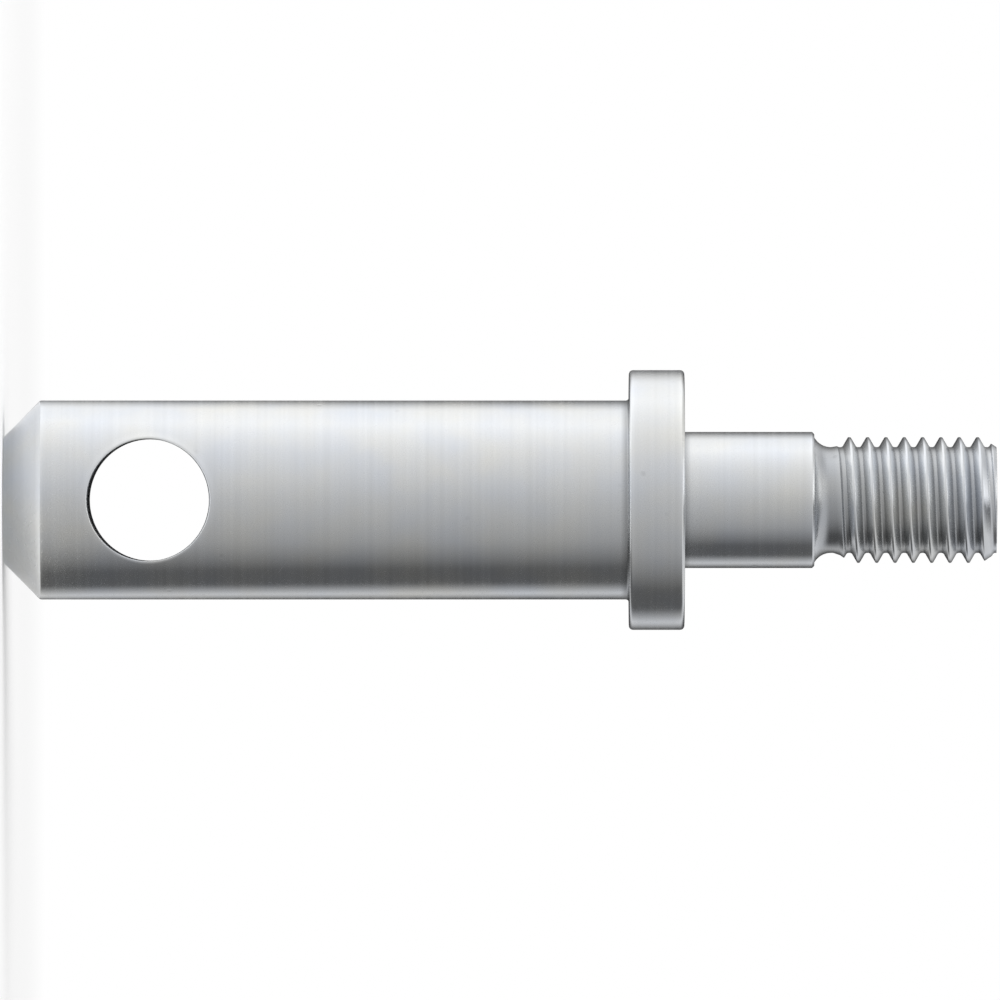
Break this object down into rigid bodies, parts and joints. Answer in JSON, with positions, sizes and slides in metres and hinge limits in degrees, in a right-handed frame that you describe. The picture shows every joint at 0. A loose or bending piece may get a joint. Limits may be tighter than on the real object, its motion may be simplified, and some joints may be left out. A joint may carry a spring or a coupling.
{
  "type": "clevis pin",
  "caption": "Turned steel clevis pin with a chamfered tip, a cross hole for a linch pin, a collar, a shoulder for a plate and a threaded end.",
  "frame": {"origin": "centre of the tip's flat face, on which the pin stands", "axes": "+Z along the pin's axis from the tip to the threaded end, Y along the cross hole"},
  "size_m": [0.0248, 0.0248, 0.0948],
  "materials": {
    "zinc_plated_steel": "turned steel, bright zinc plated"
  },
  "bodies": {
    "root": {"clevis_pin": "zinc_plated_steel"}
  },
  "joints": []
}
